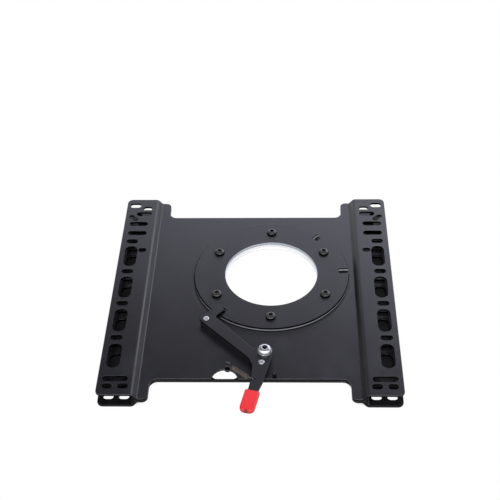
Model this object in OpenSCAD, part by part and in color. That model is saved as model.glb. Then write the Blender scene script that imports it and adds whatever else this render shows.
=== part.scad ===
// Swivel seat base for a camper: two pressed steel plates, one turning on the
// other about a clamped lock ring, held by a spring-loaded latch lever.
// The origin is on the swivel axis, at the underside of the bottom plate's centre.

/* [Plates] */
// Width of the side flanges, from the middle of the step
flange_w = 45; // [40:0.5:55]
// Length of the side flanges
flange_l = 362; // [350:1:400]
// Length of the plate between the flanges
centre_l = 299; // [290:1:330]
// Thickness of the sheet steel
sheet_t = 3; // [2.5:0.25:4]
// Step between the centre and the side flanges
joggle_h = 7.5; // [6:0.5:10]
// Angle of the step's sloping web
joggle_a = 50; // [40:5:60]
// Inside radius of the step's bends
bend_r = 2.5; // [2:0.5:3]
// Distance from the lock ring's rim to the middle of the step beside it
step_gap = 10.6; // [8:0.1:16]
// Width of the corner tabs
tab_w = 61; // [56:0.5:66]
// Radius of the outer corners
corner_r = 7; // [4:0.5:9]
// Radius of the inner corners beside the tabs
recess_r = 10; // [6:0.5:14]

/* [Swivel] */
// Offset of the swivel axis to the right of the plate's middle
axis_x = 23.7; // [10:0.1:26]
// Offset of the swivel axis to the rear of the plate's middle
axis_y = 30; // [20:0.5:40]
// Diameter of the hole through the middle
bore_d = 120.4; // [100:0.2:124]
// Radial width of the hub that carries the turning plate
hub_w = 27.8; // [26:0.1:32]
// Radial running clearance of the turning plate on the hub
hub_gap = 0.06; // [0.03:0.01:0.1]
// Width of the lock ring beyond the hub
ring_lap = 13.7; // [13.5:0.1:16]
// Thickness of the lock ring
ring_t = 4; // [3:0.25:4.5]
// Bevel on the lock ring's upper rim
ring_bevel = 1; // [0.4:0.1:1.4]
// Thickness of the slide ring below the turning plate
slide_low_t = 0.75; // [0.5:0.05:1.5]
// Thickness of the slide ring above the turning plate
slide_up_t = 0.95; // [0.5:0.05:1.5]
// Axial play at each slide ring
slide_gap = 0.05; // [0.02:0.01:0.1]
// Distance of the slide rings' outer rim inside the lock ring's rim
slide_inset = 1.5; // [1:0.5:3]
// Distance of the slide rings' inner rim outside the hub
slide_bore_gap = 1; // [0.5:0.5:3]

/* [Lock notches] */
// Width of a lock notch
notch_w = 8.25; // [8:0.25:11]
// Depth of a lock notch
notch_depth = 13.3; // [11:0.1:15]
// Radius of the notch's inner corners
notch_r = 1.5; // [0.5:0.5:3]
// Direction of the first notch, to the right
notch_a1 = 2.7; // [-5:0.1:10]
// Direction of the second notch, to the rear right, half a turn from the latch's own
notch_a2 = 48.8; // [47:0.1:51]

/* [Ring screws] */
// Number of ring screws
screw_n = 6; // [5:1:8]
// Distance of the ring screws inside the hub's rim
screw_edge = 7.5; // [7:0.1:14]
// Direction of the first ring screw
screw_a = 90; // [80:1:100]
// Thread diameter of the ring screws
screw_d = 8; // [6:1:8]
// Diameter of the ring screws' heads
screw_head_d = 13.4; // [12:0.2:14]
// Height of the ring screws' heads
screw_head_h = 4; // [3.5:0.1:5]
// Width across flats of the ring screws' sockets
screw_socket_w = 5; // [4:0.5:5]
// Depth of the ring screws' sockets
screw_socket_h = 2.4; // [1.5:0.1:3]
// Height of the straight band below the domed heads
head_band = 0.4; // [0.1:0.1:0.8]
// Clearance of the ring screws in their holes, on the radius
screw_gap = 0.25; // [0.1:0.05:0.4]
// Width across flats of the nuts
nut_w = 13; // [12:0.5:13]
// Height of the nuts
nut_h = 5; // [4:0.25:5.5]
// Clearance of the nuts on the ring screws, on the radius
thread_gap = 0.02; // [0:0.01:0.05]
// Length of screw beyond the nut
screw_end = 0.8; // [0.2:0.1:1]

/* [Mounting slots] */
// Width of the mounting slots
slot_w = 8.5; // [8.5:0.1:9]
// Length of the short mounting slots
slot_short_l = 15.5; // [14:0.5:17]
// Length of the long mounting slots
slot_long_l = 25.5; // [20:0.5:26]
// Length of the longest slots, near the front
slot_front_l = 30.5; // [26:0.5:31]
// Length of the shortest slots, at the flange's ends
slot_end_l = 12.5; // [11:0.5:13]
// Distance of the slots' outer end inside the flange's edge
slot_edge = 7.2; // [6:0.1:9]
// Pitch of the short slots along the flange
slot_pitch = 60; // [59:0.5:60]
// Distance of the slot row's middle behind the flange's own middle
slot_row_y = 1.3; // [-2:0.1:2]
// Width of the large windows between the short slots
window_w = 17; // [15:0.5:17.5]
// Length of the large windows
window_l = 39.5; // [36:0.5:40]
// Width of the rear corner slots
slot_rear_w = 9.2; // [8.5:0.1:11]

/* [Latch lever] */
// Pivot of the lever, to the right of the swivel axis
pivot_x = -6.6; // [-9:0.1:-4]
// Pivot of the lever, to the rear of the swivel axis
pivot_y = -142.6; // [-146:0.1:-140]
// Thickness of the lever
lever_t = 3; // [2.5:0.25:4]
// Gap between the lock ring and the lever above it
lever_gap = 0.4; // [0.3:0.05:0.6]
// Gap between the turning plate and the pawl above it
pawl_gap = 0.2; // [0.1:0.05:0.4]
// Direction of the lever's nose
nose_a = 226.6; // [225.5:0.1:227.5]
// Width of the nose
nose_w = 13; // [11:0.5:14]
// Length of nose over the lock ring
nose_lap = 10.7; // [8:0.1:11]
// Width of the arm between the nose and the pivot
arm_w = 14; // [12:0.5:16]
// Distance of the arm's far end outside the lock ring's rim
arm_end = 23.8; // [20:0.2:26]
// Radius of the lever's boss round the pivot
boss_r = 9.8; // [9:0.1:11]
// Reach of the boss to the left of the pivot
boss_left = 12.5; // [11.5:0.5:14]
// Distance of the heel's corner to the left of the pivot
heel_x = 14.5; // [13.5:0.5:16]
// Distance of the heel's corner in front of the pivot
heel_y = 22; // [21:0.5:23]
// Slant of the handle from straight ahead
handle_a = 13; // [10:0.5:16]
// Width of the handle where it enters the grip
handle_w = 12; // [10:0.5:13]
// Distance from the grip's mouth to the corners where the handle widens
neck_l = 17; // [14:0.5:18]
// Distance of the pawl's sides inside the lever's
pawl_inset = 0.8; // [0.5:0.1:1.5]
// Distance of the pawl's arm outside the lock ring's rim
pawl_start = 10.3; // [10:0.1:12]
// Distance of the pawl's end in front of the pivot
pawl_end = 27.5; // [26:0.5:30]
// Width of the tooth
tooth_w = 6.4; // [5:0.2:7]
// Narrowing of the tooth's tip on each side
tooth_taper = 0.6; // [0.3:0.1:1]
// Gap between the upper slide ring and the tooth above it
tooth_gap = 0.2; // [0.1:0.05:0.4]
// Depth of the tooth in its notch when locked
tooth_depth = 8; // [6:0.25:9]
// Turn of the lever from the drawn pose to the locked one
lock_turn = 5.6; // [5.6:0.05:6]

/* [Lever fasteners] */
// Shank diameter of the pivot bolt
pivot_d = 10; // [8:0.5:10]
// Diameter of the pivot bolt's head
pivot_head_d = 16.6; // [14:0.2:17]
// Height of the pivot bolt's head
pivot_head_h = 5.5; // [4:0.25:6]
// Width across flats of the pivot bolt's socket
pivot_socket_w = 6; // [5:0.5:6]
// Depth of the pivot bolt's socket
pivot_socket_h = 3.2; // [2:0.1:4]
// Outer diameter of the pivot bush
bush_d = 13; // [12.5:0.1:13.5]
// Running clearance of the lever on its bush, on the radius
bush_gap = 0.05; // [0.03:0.01:0.1]
// Length of bush above the lever
bush_rise = 0.2; // [0.1:0.05:0.3]
// Outer diameter of the pivot washer
washer_d = 17.6; // [17:0.2:22]
// Thickness of the pivot washer
washer_t = 1.5; // [1:0.25:2]
// Clearance of the pivot washer on the bolt, on the radius
washer_gap = 0.2; // [0.1:0.05:0.4]
// Diameter of the hollow rivets' heads
rivet_head_d = 7.6; // [6:0.2:8]
// Diameter of the hollow rivets' shanks
rivet_d = 4; // [3.5:0.25:4.5]
// Diameter of the hole through the rivets
rivet_bore_d = 2; // [1.5:0.25:2.5]
// Height of the rivets' heads
rivet_head_h = 0.9; // [0.6:0.1:1.2]

/* [Grip] */
// Length of the grip
grip_l = 32.5; // [32:0.5:50]
// Width of the grip
grip_w = 19; // [17:0.25:20]
// Thickness of the grip
grip_t = 6.6; // [5.6:0.2:9]
// Length of handle inside the grip
grip_depth = 28.5; // [20:0.5:29]
// Distance along the handle from the pivot's boss to the grip's mouth
grip_start = 53.5; // [50:0.5:56]
// Step of the grip's mouth inside its widest outline
grip_lip = 0.3; // [0.1:0.1:0.6]
// Bulge of the grip's far corners
grip_bulge = 2; // [1:0.25:2.5]

/* [Return spring] */
// Outer diameter of the spring
spring_d = 5.4; // [4.5:0.1:6]
// Diameter of the spring wire
wire_d = 1; // [0.8:0.1:1.1]
// Number of coils
spring_turns = 22; // [16:1:24]
// Pitch of the coils over the wire diameter
coil_gap = 0.12; // [0.08:0.02:0.16]
// Spring post, to the left of the swivel axis
post_x = -51; // [-53:0.5:-50]
// Spring post, to the front of the swivel axis
post_y = -162.3; // [-164:0.1:-161]
// Diameter of the spring post
post_d = 4.5; // [4:0.25:5]
// Diameter of the spring post's head
post_head_d = 6.6; // [6:0.2:7]
// Height of the spring post's head
post_head_h = 1; // [0.8:0.1:1.5]
// Width of the sheet left round the spring post
post_edge = 2.2; // [1.5:0.1:2.4]
// Clearance of the spring's hooks
hook_gap = 0.3; // [0.2:0.05:0.4]
// Distance of the spring's hole from the handle's side
hook_inset = 3.4; // [3:0.1:4]
// Diameter of the spring's hole in the handle
hook_hole_d = 3.4; // [3:0.1:4]
// Distance from the last coil to the spring's hole
hook_l = 8.6; // [5.5:0.1:9]

/* [Front edge] */
// Radius of the half-round notch in the turning plate's front edge
front_notch_r = 15.5; // [12:0.5:16]
// Distance of that notch to the left of the swivel axis
front_notch_x = 54.2; // [53:0.1:58]
// Depth of the window in the bottom plate, below that notch
window_depth = 20; // [18:0.5:24]
// Width of the strip in front of that window
window_strip = 3.6; // [3:0.2:6]
// Radius of that window's corners
window_r = 6; // [3:0.5:8]
// Diameter of the lever's stop pin
stop_d = 4.4; // [4:0.2:5]
// Stop pin, to the right of the swivel axis
stop_x = 5.4; // [5:0.1:9]
// Distance of the stop pin behind the plate's front edge
stop_inset = 3.6; // [3.4:0.1:6]
// Distance of the stop pin's end below the lever's upper side
stop_drop = 0.4; // [0.1:0.1:1]
// Bevel at the end of the stop pin
stop_bevel = 0.8; // [0.4:0.1:1.2]

/* [Hidden] */
$fn = 96;

// Slots at the flange's ends: distance of the middle inside the slots' outer end,
// distance behind the plate's middle, length, width, slant
end_slots = [
    [window_w + 6.3, 73.2, slot_short_l - 5, slot_w, 0],
    [slot_long_l / 2, 108.3, slot_long_l, slot_w, 0],
    [slot_long_l / 2, 127.8, slot_long_l, slot_w, 0],
    [4.7, 140.4, slot_short_l, slot_w - 0.8, 42],
    [18.5, 149, slot_short_l + 5.5, slot_w, 0],
    [22.5, 160.5, slot_end_l, slot_w, 0],
    [4.8, 167.7, slot_short_l, slot_rear_w, 0],
    [14, -155.7, slot_front_l, slot_w, 0],
    [5.4, -167.2, slot_end_l, slot_w, 0],
    [24.2, -167.2, slot_end_l, slot_w, 0]
];

// Radii of the swivel, from the hole outwards
bore_r = bore_d / 2;
hub_r = bore_r + hub_w;
ring_r = hub_r + ring_lap;
notch_a3 = notch_a2 + 180;

// Widths of the plates, from the lock ring outwards
joggle_x = axis_x + ring_r + step_gap;
plate_w = 2 * (joggle_x + flange_w);
tab_x = plate_w / 2 - tab_w;
slot_out_x = plate_w / 2 - slot_edge;

// Heights above the bottom plate's underside
low_top = sheet_t;
top_bottom = low_top + slide_low_t + slide_gap;
top_top = top_bottom + sheet_t;
ring_bottom = top_top + slide_gap + slide_up_t;
ring_top = ring_bottom + ring_t;
lever_bottom = ring_top + lever_gap;
lever_top = lever_bottom + lever_t;
pawl_bottom = top_top + pawl_gap;
tooth_bottom = ring_bottom + tooth_gap;
spring_z = lever_bottom + lever_t / 2;

// Plan positions, seen from the swivel axis
mid = [-axis_x, -axis_y];
front_y = mid.y - centre_l / 2;
pivot = [pivot_x, pivot_y];
post = [post_x, post_y];
handle_dir = [-sin(handle_a), -cos(handle_a)];
handle_side = [-cos(handle_a), sin(handle_a)];
handle_root = pivot + [-1.3, -10.8];
grip_mouth = handle_root + handle_dir * grip_start;
neck = grip_mouth - handle_dir * neck_l;
tail = grip_mouth + handle_dir * grip_depth;
nose_rivet_p = latch_point(ring_r + arm_end - arm_w / 2, 1);
heel_rivet_p = pivot + [-3.6, -17.3];
neck_left = handle_w / 2 + 0.8;
neck_right = handle_w / 2 + 2.4;
hook_p = neck + handle_side * (neck_left - hook_inset);

// Helpers

// A plan point at radius r and tangential offset t from the nose's line
function latch_point(r, t) = r * [cos(nose_a), sin(nose_a)] + t * [-sin(nose_a), cos(nose_a)];
function unit(v) = v / norm(v);
function turn(v, a) = [v.x * cos(a) - v.y * sin(a), v.x * sin(a) + v.y * cos(a)];

// The arc that rounds corner b between a and c with radius r
function round_corner(a, b, c, r, n = 8) =
    let (u = unit(a - b), v = unit(c - b), half = acos(u * v) / 2)
    let (o = b + unit(u + v) * r / sin(half), s = b + u * r / tan(half) - o)
    let (sweep = (180 - 2 * half) * sign(cross(s, b - o)))
    [for (i = [0:n]) o + turn(s, sweep * i / n)];

// A closed outline from corners written as [point, radius]
function rounded(c) =
    let (n = len(c))
    [for (i = [0:n - 1]) each c[i][1] == 0
        ? [c[i][0]]
        : round_corner(c[(i + n - 1) % n][0], c[i][0], c[(i + 1) % n][0], c[i][1])];

// A slot with round ends, l long along X and w wide
module slot(l, w) {
    square([l - w, w], center = true);
    for (s = [-1, 1])
        translate([s * (l - w) / 2, 0]) circle(d = w);
}

// A slot with round ends, w wide along X and l long
module window(l, w) {
    rotate(90) slot(l, w);
}

// A flat ring
module flat_ring(r_in, r_out, h) {
    difference() {
        cylinder(h = h, r = r_out);
        translate([0, 0, -1]) cylinder(h = h + 2, r = r_in);
    }
}

// A domed head with a hexagon socket, sitting on z = 0
module domed_head(d, h, socket_w, socket_h) {
    dome_h = h - head_band;
    dome_r = (d * d / 4 + dome_h * dome_h) / (2 * dome_h);
    difference() {
        intersection() {
            cylinder(h = h, d = d);
            translate([0, 0, h - dome_r]) sphere(r = dome_r);
        }
        translate([0, 0, h - socket_h]) rotate(30) cylinder(h = h, d = socket_w / cos(30), $fn = 6);
    }
}

// Sheet metal plates

// Points of one bend about centre c, radius r, from direction a0 to a1
function bend(c, r, a0, a1, n = 8) =
    [for (i = [0:n]) let (a = a0 + (a1 - a0) * i / n) c + r * [cos(a), sin(a)]];

// The stepped cross-section: X across, Y up, centre sheet on y = 0
module stepped_profile() {
    r_out = bend_r + sheet_t;
    r_mid = bend_r + sheet_t / 2;
    web_l = (joggle_h - 2 * r_mid * (1 - cos(joggle_a))) / sin(joggle_a);
    run = 2 * r_mid * sin(joggle_a) + web_l * cos(joggle_a);
    low_c = [joggle_x - run / 2, r_out];
    high_c = [joggle_x + run / 2, joggle_h - bend_r];
    edge = plate_w / 2 + 1;
    right = concat(
        bend(low_c, r_out, -90, joggle_a - 90), bend(high_c, bend_r, 90 + joggle_a, 90),
        [[edge, joggle_h], [edge, joggle_h + sheet_t]],
        bend(high_c, r_out, 90, 90 + joggle_a), bend(low_c, bend_r, joggle_a - 90, -90));
    left = [for (i = [len(right) - 1:-1:0]) [-right[i].x, right[i].y]];
    polygon(concat(right, left));
}

// Plan outline of both plates, about the plate's middle
module plate_outline() {
    hw = plate_w / 2;
    hf = flange_l / 2;
    hc = centre_l / 2;
    quarter = [[[hw, hf], corner_r], [[tab_x, hf], corner_r], [[tab_x, hc], recess_r]];
    flip = [for (i = [len(quarter) - 1:-1:0]) quarter[i]];
    polygon(rounded(concat(
        quarter, [for (c = flip) [[-c[0].x, c[0].y], c[1]]],
        [for (c = quarter) [-c[0], c[1]]], [for (c = flip) [[c[0].x, -c[0].y], c[1]]])));
}

// Mounting slots of the right-hand flange, about the plate's middle
module flange_slots() {
    for (k = [-1.5:1.5])
        translate([slot_out_x - slot_short_l / 2, slot_row_y + k * slot_pitch]) slot(slot_short_l, slot_w);
    for (k = [-2:1])
        translate([slot_out_x - window_w / 2, slot_row_y + k * slot_pitch]) window(window_l, window_w);
    for (s = end_slots)
        translate([slot_out_x - s[0], s[1]]) rotate(s[4]) slot(s[2], s[3]);
}

// A stepped plate about its own middle, centre sheet from z = 0 up, flanges raised
module stepped_plate() {
    difference() {
        intersection() {
            rotate([90, 0, 0]) linear_extrude(flange_l + 2, center = true) stepped_profile();
            translate([0, 0, -1]) linear_extrude(joggle_h + sheet_t + 2) plate_outline();
        }
        translate([0, 0, joggle_h - 1]) linear_extrude(sheet_t + 2)
            for (m = [0, 1]) mirror([m, 0]) flange_slots();
    }
}

// Seat side: flanges raised, turns on the hub
module top_plate() color("#55565b") {
    difference() {
        translate([mid.x, mid.y, top_bottom]) stepped_plate();
        translate([0, 0, top_bottom - 1]) cylinder(h = sheet_t + 2, r = hub_r + hub_gap);
        difference() {
            translate([-front_notch_x, front_y, top_bottom - 1]) cylinder(h = sheet_t + 2, r = front_notch_r);
            translate([post.x, post.y, top_bottom - 2]) cylinder(h = sheet_t + 4, d = post_d + 2 * post_edge);
        }
        translate([pivot.x, pivot.y, top_bottom - 1]) cylinder(h = sheet_t + 2, d = pivot_d);
        translate([post.x, post.y, top_bottom - 1]) cylinder(h = sheet_t + 2, d = post_d);
        translate([stop_x, front_y + stop_inset, top_bottom - 1]) cylinder(h = sheet_t + 2, d = stop_d);
    }
}

// Vehicle side: the same pressing upside down, with the clamping holes
module bottom_plate() color("#4c4d52") {
    difference() {
        translate([mid.x, mid.y, low_top]) mirror([0, 0, 1]) stepped_plate();
        translate([0, 0, -1]) cylinder(h = sheet_t + 2, r = bore_r);
        screw_pattern() translate([0, 0, -1]) cylinder(h = sheet_t + 2, r = screw_d / 2 + screw_gap);
        translate([-front_notch_x, front_y + window_strip, -1]) linear_extrude(sheet_t + 2)
            polygon(rounded([[[-front_notch_r, 0], window_r], [[front_notch_r, 0], window_r],
                [[front_notch_r, window_depth], window_r], [[-front_notch_r, window_depth], window_r]]));
    }
}

// Swivel

module screw_at(i) {
    rotate(screw_a - i * 360 / screw_n) translate([hub_r - screw_edge, 0, 0]) children();
}

module screw_pattern() {
    for (i = [0:screw_n - 1])
        screw_at(i) children();
}

// Hub between the bottom plate and the lock ring
module hub_ring() color("#3f4044") {
    difference() {
        translate([0, 0, low_top]) flat_ring(bore_r, hub_r, ring_bottom - low_top);
        screw_pattern() translate([0, 0, low_top - 1])
            cylinder(h = ring_bottom - low_top + 2, r = screw_d / 2 + screw_gap);
    }
}

module slide_ring(z, t) {
    translate([0, 0, z]) flat_ring(hub_r + slide_bore_gap, ring_r - slide_inset, t);
}

module lower_slide_ring() color("#2b2b2d") slide_ring(low_top, slide_low_t);

module upper_slide_ring() color("#2b2b2d") slide_ring(ring_bottom - slide_up_t, slide_up_t);

// One lock notch, open at the rim, along direction a
module lock_notch(a) {
    reach = notch_depth + 5;
    rotate(a) translate([ring_r - notch_depth, 0, ring_bottom - 1]) linear_extrude(ring_t + 2)
        polygon(rounded([[[0, -notch_w / 2], notch_r], [[reach, -notch_w / 2], 0],
            [[reach, notch_w / 2], 0], [[0, notch_w / 2], notch_r]]));
}

// Lock ring: clamped on the hub, notched for the latch
module lock_ring() color("#5a5b60") {
    difference() {
        union() {
            translate([0, 0, ring_bottom]) cylinder(h = ring_t - ring_bevel, r = ring_r);
            translate([0, 0, ring_top - ring_bevel])
                cylinder(h = ring_bevel, r1 = ring_r, r2 = ring_r - ring_bevel);
        }
        translate([0, 0, ring_bottom - 1]) cylinder(h = ring_t + 2, r = bore_r);
        for (a = [notch_a1, notch_a2, notch_a3]) lock_notch(a);
        screw_pattern() translate([0, 0, ring_bottom - 1])
            cylinder(h = ring_t + 2, r = screw_d / 2 + screw_gap);
    }
}

module ring_screw(i) color("#2f3033") {
    screw_at(i) {
        translate([0, 0, ring_top]) domed_head(screw_head_d, screw_head_h, screw_socket_w, screw_socket_h);
        translate([0, 0, -nut_h - screw_end]) cylinder(h = ring_top + nut_h + screw_end, d = screw_d);
    }
}

module ring_nut(i) color("#8c8d90") {
    screw_at(i) translate([0, 0, -nut_h]) difference() {
        intersection() {
            rotate(30) cylinder(h = nut_h, d = nut_w / cos(30), $fn = 6);
            cylinder(h = nut_h, r1 = nut_w / 2, r2 = nut_w / 2 + nut_h / tan(30));
        }
        translate([0, 0, -1]) cylinder(h = nut_h + 2, r = screw_d / 2 + thread_gap);
    }
}

// Latch

// Outline of the lever, from the nose round by the pivot to the handle
module lever_outline() {
    nose_r = ring_r - nose_lap;
    half_w = handle_w / 2;
    polygon(rounded([
        [latch_point(nose_r, -nose_w / 2), 0.8],
        [latch_point(nose_r, nose_w / 2), 0.8],
        [latch_point(ring_r + 6.5, nose_w / 2), 3],
        [pivot + [-boss_left, 3.5], 3],
        [pivot + [5 - boss_left, boss_r], 5],
        [pivot + [boss_r, boss_r], 8],
        [pivot + [boss_r - 1.6, -11], 10],
        [neck - handle_side * neck_right, 20],
        [grip_mouth - handle_side * half_w, 4],
        [tail - handle_side * half_w, 4],
        [tail + handle_side * half_w, 4],
        [grip_mouth + handle_side * half_w, 4],
        [neck + handle_side * neck_left, 20],
        [pivot + [-heel_x, -heel_y], 12],
        [pivot + [-boss_left - arm_w / 2, -10], 10],
        [latch_point(ring_r + arm_end, -nose_w / 2 + 1.6), 2]
    ]));
}

// Vertical hole through the lever's layers at plan point p
module lever_hole(p, r) {
    translate([p.x, p.y, top_top]) cylinder(h = lever_top, r = r);
}

// The lever: nose over the lock ring, handle beyond the front edge
module lever_plate() color("#5f6065") {
    difference() {
        translate([0, 0, lever_bottom]) linear_extrude(lever_t) lever_outline();
        lever_hole(pivot, bush_d / 2 + bush_gap);
        lever_hole(nose_rivet_p, rivet_d / 2);
        lever_hole(heel_rivet_p, rivet_d / 2);
        lever_hole(hook_p, hook_hole_d / 2);
    }
}

// Turns its children from the locked pose to the drawn one
module from_locked() {
    translate(pivot) rotate(lock_turn) translate(-pivot) children();
}

// Plan of the tooth, tapering into its notch, in the locked pose
module tooth_outline() {
    tip_r = ring_r - tooth_depth;
    root_r = ring_r + 8;
    tip_w = tooth_w - 2 * tooth_taper;
    rotate(notch_a3) polygon(rounded([
        [[tip_r, -tip_w / 2], tooth_taper], [[root_r, -tooth_w / 2], 0],
        [[root_r, tooth_w / 2], 0], [[tip_r, tip_w / 2], tooth_taper]]));
}

// Outline of the pawl's arm below the lever, ending short of the front edge
module pawl_outline() {
    polygon(rounded([
        [latch_point(ring_r + pawl_start, -nose_w / 2 + pawl_inset), 1],
        [pivot + [pawl_inset - boss_left, 3.5 - pawl_inset / 2], 3],
        [pivot + [5 - boss_left, boss_r - pawl_inset], 5],
        [pivot + [boss_r - pawl_inset, boss_r - pawl_inset], 8],
        [pivot + [boss_r - 1.6 - pawl_inset, -11], 10],
        [pivot + [4.2 - pawl_inset, -pawl_end], 2],
        [pivot + [pawl_inset - heel_x, -pawl_end], 2],
        [pivot + [pawl_inset - heel_x, -heel_y], 3],
        [pivot + [pawl_inset - boss_left - arm_w / 2, -10 + pawl_inset / 2], 10],
        [latch_point(ring_r + arm_end - pawl_inset, -nose_w / 2 + 1.6 + pawl_inset), 2]
    ]));
}

// The pawl: an arm level with the lock ring, and a thinner tooth that clears the slide ring
module pawl() color("#3c3d41") {
    difference() {
        union() {
            translate([0, 0, pawl_bottom]) linear_extrude(lever_bottom - pawl_bottom) pawl_outline();
            translate([0, 0, tooth_bottom]) linear_extrude(lever_bottom - tooth_bottom)
                from_locked() tooth_outline();
        }
        lever_hole(pivot, bush_d / 2 + bush_gap);
        lever_hole(nose_rivet_p, rivet_d / 2);
        lever_hole(heel_rivet_p, rivet_d / 2);
    }
}

// Hollow rivet through lever and pawl
module hollow_rivet(p) {
    translate([p.x, p.y, 0]) difference() {
        union() {
            translate([0, 0, pawl_bottom]) cylinder(h = lever_top - pawl_bottom, d = rivet_d);
            translate([0, 0, lever_top]) domed_cap(rivet_head_d, rivet_head_h);
        }
        translate([0, 0, pawl_bottom - 1]) cylinder(h = lever_top, d = rivet_bore_d);
    }
}

// A low dome on z = 0
module domed_cap(d, h) {
    dome_r = (d * d / 4 + h * h) / (2 * h);
    intersection() {
        cylinder(h = h, d = d);
        translate([0, 0, h - dome_r]) sphere(r = dome_r);
    }
}

module nose_rivet() color("#c9cbce") hollow_rivet(nose_rivet_p);

module heel_rivet() color("#c9cbce") hollow_rivet(heel_rivet_p);

// Soft sleeve pushed over the end of the handle
module lever_grip() color("#f5414a") {
    edge = grip_t / 2;
    difference() {
        translate([grip_mouth.x, grip_mouth.y, spring_z]) rotate(-90 - handle_a) hull() {
            for (s = [-1, 1]) {
                translate([0, s * (grip_w / 2 - edge), 0]) rotate([0, 90, 0])
                    cylinder(h = 1, r = edge - grip_lip, $fn = 32);
                translate([4 * grip_lip, s * (grip_w / 2 - edge), 0]) rotate([0, 90, 0])
                    cylinder(h = 1, r = edge, $fn = 32);
                for (b = [0, grip_bulge])
                    translate([grip_l - edge - b, s * (grip_w / 2 - edge - grip_bulge + b), 0])
                        sphere(r = edge, $fn = 32);
            }
        }
        translate([0, 0, lever_bottom]) linear_extrude(lever_t) lever_outline();
    }
}

module pivot_bush() color("#b9bbbe") {
    translate([pivot.x, pivot.y, top_top])
        flat_ring(pivot_d / 2, bush_d / 2, lever_top + bush_rise - top_top);
}

module pivot_washer() color("#b9bbbe") {
    translate([pivot.x, pivot.y, lever_top + bush_rise])
        flat_ring(pivot_d / 2 + washer_gap, washer_d / 2, washer_t);
}

module pivot_bolt() color("#c9cbce") {
    head_z = lever_top + bush_rise + washer_t;
    translate([pivot.x, pivot.y, head_z])
        domed_head(pivot_head_d, pivot_head_h, pivot_socket_w, pivot_socket_h);
    translate([pivot.x, pivot.y, top_bottom]) cylinder(h = head_z - top_bottom, d = pivot_d);
}

// Headed post pressed into the turning plate
module spring_post() color("#3c3d41") {
    top = spring_z + wire_d / 2 + hook_gap;
    translate([post.x, post.y, top_bottom]) cylinder(h = top - top_bottom, d = post_d);
    translate([post.x, post.y, top]) domed_cap(post_head_d, post_head_h);
}

// Pin that stops the released lever
module stop_pin() color("#55565b") {
    straight = lever_top - stop_drop - stop_bevel - top_bottom;
    translate([stop_x, front_y + stop_inset, top_bottom]) {
        cylinder(h = straight, d = stop_d);
        translate([0, 0, straight]) cylinder(h = stop_bevel, d1 = stop_d, d2 = stop_d - 2 * stop_bevel);
    }
}

// Return spring

// Line of the wire: hook round the post, coils, hook down through the lever's hole
function spring_path() =
    let (span = norm(hook_p - post), loop_r = post_d / 2 + hook_gap + wire_d / 2)
    let (coil_r = (spring_d - wire_d) / 2, pitch = wire_d + coil_gap, coil_l = spring_turns * pitch)
    let (x0 = span - coil_l - hook_l, x1 = x0 + coil_l, top = lever_t / 2 + hook_gap + wire_d / 2)
    concat(
        [for (a = [20:20:320]) loop_r * [cos(a), sin(a), 0]],
        [[loop_r + 0.9, -loop_r * 0.45, 0], [x0 - 0.8, -coil_r * 0.8, -0.2]],
        [for (i = [0:spring_turns * 12]) let (a = i * 30 - 90)
            [x0 + i / 12 * pitch, coil_r * sin(a), -coil_r * cos(a) * (i < 4 ? i / 4 : 1)]],
        [[x1 + 0.9, -coil_r * 0.6, coil_r * 0.55], [x1 + 2.2, -coil_r * 0.15, top],
            [span - 1, 0, top], [span - 0.1, 0, top - 0.6], [span, 0, top - 1.6],
            [span, 0, 0.5 - top], [span - 0.4, 0, -0.6 - top], [span - 1.6, 0, -1 - top]]);

// A round wire of diameter d along points p, n sides
module swept_wire(p, d, n = 6) {
    last = len(p) - 1;
    along = [for (i = [0:last]) unit(p[min(i + 1, last)] - p[max(i - 1, 0)])];
    side = [for (i = 0, u = unit(cross(along[0], [0, 0, 1])); i <= last;
        i = i + 1, u = unit(u - (u * along[min(i, last)]) * along[min(i, last)])) u];
    ring = [for (i = [0:last], k = [0:n - 1]) let (a = 360 * k / n)
        p[i] + d / 2 * (cos(a) * side[i] + sin(a) * cross(along[i], side[i]))];
    skin = [for (i = [0:last - 1], k = [0:n - 1]) let (m = (k + 1) % n)
        [i * n + k, i * n + m, i * n + m + n, i * n + k + n]];
    polyhedron(ring, concat([[for (k = [n - 1:-1:0]) k]], skin, [[for (k = [0:n - 1]) last * n + k]]));
}

module return_spring() color("#9a8577") {
    reach = hook_p - post;
    translate([post.x, post.y, spring_z]) rotate(atan2(reach.y, reach.x)) swept_wire(spring_path(), wire_d);
}

bottom_plate();
top_plate();
lower_slide_ring();
upper_slide_ring();
hub_ring();
lock_ring();
ring_screw(0);  // ring_screw_1
ring_screw(1);  // ring_screw_2
ring_screw(2);  // ring_screw_3
ring_screw(3);  // ring_screw_4
ring_screw(4);  // ring_screw_5
ring_screw(5);  // ring_screw_6
ring_nut(0);  // ring_nut_1
ring_nut(1);  // ring_nut_2
ring_nut(2);  // ring_nut_3
ring_nut(3);  // ring_nut_4
ring_nut(4);  // ring_nut_5
ring_nut(5);  // ring_nut_6
lever_plate();
pawl();
nose_rivet();
heel_rivet();
lever_grip();
pivot_bush();
pivot_washer();
pivot_bolt();
spring_post();
return_spring();
stop_pin();
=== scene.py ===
"""Swivel seat base for a camper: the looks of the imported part, in its own frame, in metres."""

import math

import bmesh
import bpy
from mathutils import Matrix, Vector


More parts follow.
